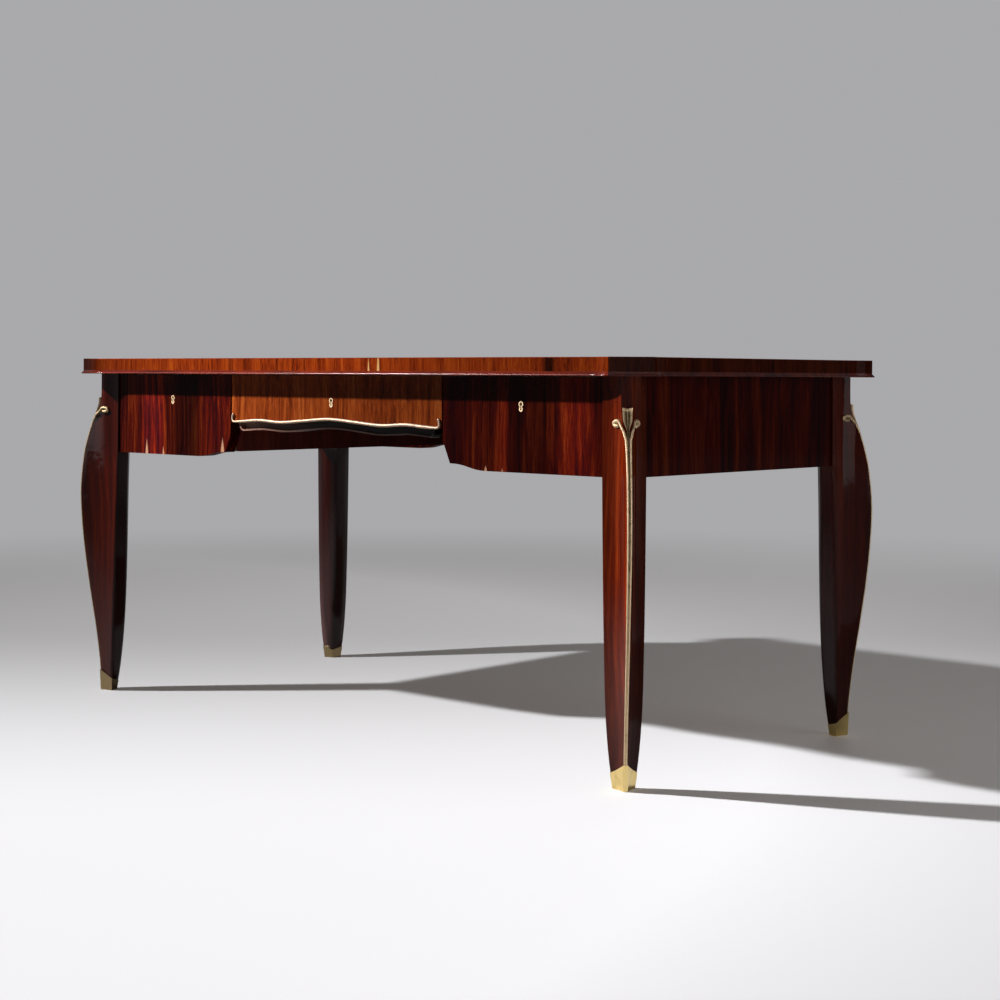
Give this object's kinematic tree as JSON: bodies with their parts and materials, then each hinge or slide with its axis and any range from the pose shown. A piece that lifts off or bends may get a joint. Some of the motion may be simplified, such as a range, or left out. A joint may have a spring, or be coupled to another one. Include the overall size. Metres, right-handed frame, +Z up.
{
  "type": "writing desk",
  "caption": "Flat topped writing desk in striped dark red veneer on four curved legs with gilt bronze mounts, with locking drawers and a shaped pull bar on the middle one.",
  "frame": {"origin": "on the floor under the middle of the desk", "axes": "+X to the right along the length as seen by the sitter in front, +Y to the back, +Z up"},
  "size_m": [1.6624, 0.8364, 0.76],
  "materials": {
    "rosewood": "high gloss polish over striped veneer",
    "rosewood_field": "high gloss polish over striped veneer",
    "oak": "waxed",
    "gilt_bronze": "soft polished gilding",
    "lock_brass": "satin",
    "steel": "satin"
  },
  "bodies": {
    "carcass": {"centre_runners": "oak", "drawer_stops": "oak", "front_left_leg": "rosewood", "front_left_mount": "gilt_bronze", "front_left_sabot": "gilt_bronze", "front_rail": "oak", "front_right_leg": "rosewood", "front_right_mount": "gilt_bronze", "front_right_sabot": "gilt_bronze", "glue_blocks": "oak", "kickers": "oak", "left_end_panel": "rosewood", "left_floor_board": "oak", "left_knee_panel": "rosewood", "left_rear_panel": "rosewood", "left_runners": "oak", "rear_centre_panel": "rosewood", "rear_left_leg": "rosewood", "rear_left_mount": "gilt_bronze", "rear_left_sabot": "gilt_bronze", "rear_rail": "oak", "rear_right_leg": "rosewood", "rear_right_mount": "gilt_bronze", "rear_right_sabot": "gilt_bronze", "right_end_panel": "rosewood", "right_floor_board": "oak", "right_knee_panel": "rosewood", "right_rear_panel": "rosewood", "right_runners": "oak", "top_border": "rosewood", "top_core": "oak", "top_field": "rosewood_field", "top_lipping": "rosewood", "top_screws": "steel", "under_board": "rosewood"},
    "left_drawer": {"left_drawer_back": "oak", "left_drawer_bottom": "oak", "left_drawer_front": "rosewood", "left_drawer_key_plate": "gilt_bronze", "left_drawer_lock_case": "lock_brass", "left_drawer_sides": "oak"},
    "left_bolt": {"left_drawer_lock_bolt": "steel"},
    "centre_drawer": {"centre_drawer_back": "oak", "centre_drawer_bottom": "oak", "centre_drawer_front": "rosewood", "centre_drawer_grip": "rosewood", "centre_drawer_key_plate": "gilt_bronze", "centre_drawer_lock_case": "lock_brass", "centre_drawer_pull": "gilt_bronze", "centre_drawer_sides": "oak"},
    "centre_bolt": {"centre_drawer_lock_bolt": "steel"},
    "right_drawer": {"right_drawer_back": "oak", "right_drawer_bottom": "oak", "right_drawer_front": "rosewood", "right_drawer_key_plate": "gilt_bronze", "right_drawer_lock_case": "lock_brass", "right_drawer_sides": "oak"},
    "right_bolt": {"right_drawer_lock_bolt": "steel"}
  },
  "joints": [
    {"name": "left_drawer_slide", "type": "slide", "parent": "carcass", "child": "left_drawer", "axis": [0, -1, 0], "range_m": [0, 0.36]},
    {"name": "centre_drawer_slide", "type": "slide", "parent": "carcass", "child": "centre_drawer", "axis": [0, -1, 0], "range_m": [0, 0.36]},
    {"name": "right_drawer_slide", "type": "slide", "parent": "carcass", "child": "right_drawer", "axis": [0, -1, 0], "range_m": [0, 0.36]},
    {"name": "left_bolt_lift", "type": "slide", "parent": "left_drawer", "child": "left_bolt", "axis": [0, 0, 1], "range_m": [0, 0.014]},
    {"name": "centre_bolt_lift", "type": "slide", "parent": "centre_drawer", "child": "centre_bolt", "axis": [0, 0, 1], "range_m": [0, 0.014]},
    {"name": "right_bolt_lift", "type": "slide", "parent": "right_drawer", "child": "right_bolt", "axis": [0, 0, 1], "range_m": [0, 0.014]}
  ]
}
